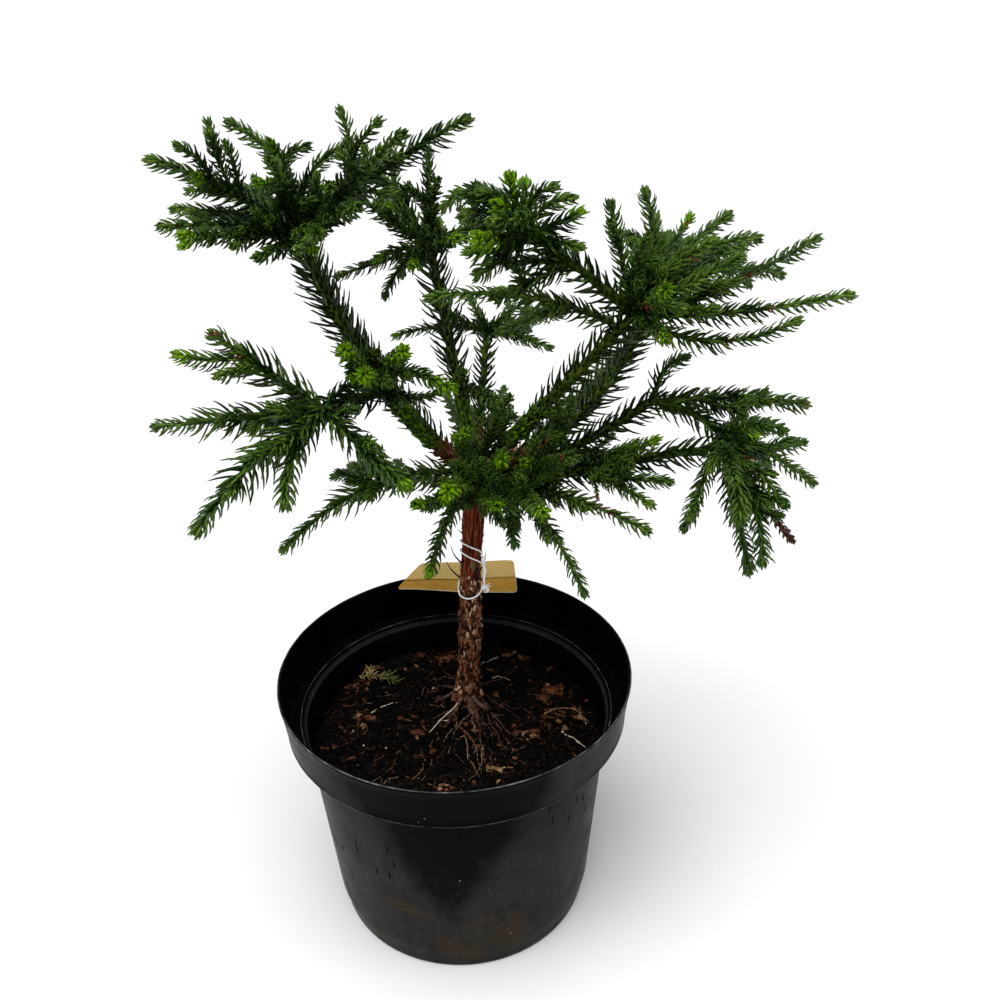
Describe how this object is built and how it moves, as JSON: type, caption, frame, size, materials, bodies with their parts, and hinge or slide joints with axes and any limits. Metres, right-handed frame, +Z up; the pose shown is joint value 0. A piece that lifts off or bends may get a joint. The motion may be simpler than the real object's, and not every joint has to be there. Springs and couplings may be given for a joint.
{
  "type": "potted japanese cedar",
  "caption": "Dwarf foxtail Japanese cedar in a round black nursery pot: short trunk on bark compost, spreading boughs with whorls of long needled shoots, a blank card and a string tie.",
  "frame": {"origin": "centre of the pot's flat underside", "axes": "+Z up; -Y towards the viewer of the pot's front; +X to the viewer's right"},
  "size_m": [0.4303, 0.2972, 0.5819],
  "materials": {
    "pot": "glossy black moulded plastic, dusty with dried compost low on the left",
    "compost": "matt dark fibrous bark compost",
    "bark": "flaky grey-brown bark below, stringy red-brown bark above",
    "needles": "semi-gloss deep green needles with lime-green tips",
    "card": "plain matt kraft card",
    "string": "thin white twine"
  },
  "bodies": {
    "root": {"bough_back": "bark", "bough_centre": "bark", "bough_left": "bark", "bough_left_low": "bark", "bough_rear_left": "bark", "bough_rear_low_left": "bark", "bough_rear_low_right": "bark", "bough_rear_right": "bark", "bough_right": "bark", "bough_right_elbow": "bark", "bough_right_low": "bark", "bough_right_mid": "bark", "bough_right_second": "bark", "bough_upper_mid": "bark", "label_card": "card", "mass_base_whorl": "needles", "mass_centre_fan": "needles", "mass_centre_leader": "needles", "mass_left_leader": "needles", "mass_left_lower": "needles", "mass_middle_long": "needles", "mass_rear_left": "needles", "mass_rear_low_left": "needles", "mass_rear_low_right": "needles", "mass_rear_middle": "needles", "mass_rear_right": "needles", "mass_right_inner": "needles", "mass_right_leader": "needles", "mass_right_lower": "needles", "mass_right_second": "needles", "mass_right_upper": "needles", "mass_top_centre": "needles", "mass_upper_left": "needles", "mass_upper_mid": "needles", "pot": "pot", "soil": "compost", "string_tie": "string", "trunk": "bark"}
  },
  "joints": []
}
